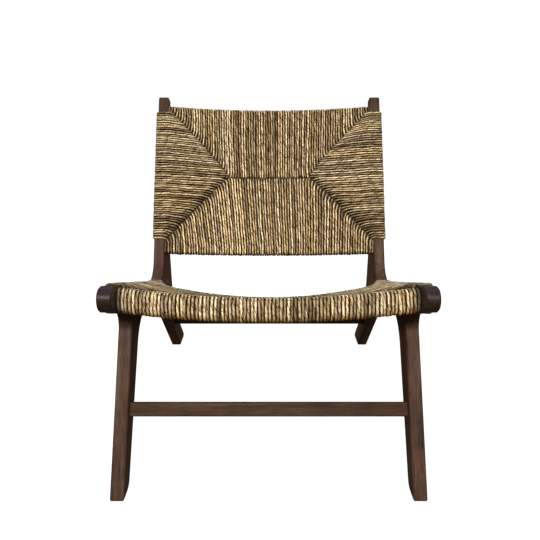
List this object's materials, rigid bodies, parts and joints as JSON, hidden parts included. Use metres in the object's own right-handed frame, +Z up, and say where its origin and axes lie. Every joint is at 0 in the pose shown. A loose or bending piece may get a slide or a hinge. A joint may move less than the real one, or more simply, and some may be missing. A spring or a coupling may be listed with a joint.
{
  "type": "lounge chair",
  "caption": "Low armless lounge chair: raked plank side frames in dark wood, sloping seat and reclined back woven in twisted natural cord, stretchers between the legs.",
  "frame": {"origin": "on the floor, midway between the side frames and midway along the chair's overall length", "axes": "+X to the chair's right side seen from the front of the picture, +Y from the front of the seat to the back, +Z up"},
  "size_m": [0.6386, 0.7642, 0.7564],
  "materials": {
    "frame_wood": "dark brown hardwood, satin oiled",
    "hidden_wood": "plain unfinished hardwood under the cord",
    "cord": "twisted natural fibre cord, straw to brown, dull"
  },
  "bodies": {
    "root": {"back_bottom_rail": "hidden_wood", "back_post_left": "frame_wood", "back_post_right": "frame_wood", "back_top_rail": "hidden_wood", "back_weave": "cord", "front_leg_left": "frame_wood", "front_leg_right": "frame_wood", "front_stretcher": "frame_wood", "horn_dowels": "hidden_wood", "rear_leg_left": "frame_wood", "rear_leg_right": "frame_wood", "rear_stretcher": "frame_wood", "seat_front_rail": "hidden_wood", "seat_rear_rail": "hidden_wood", "seat_side_rail_left": "frame_wood", "seat_side_rail_right": "frame_wood", "seat_weave": "cord"}
  },
  "joints": []
}
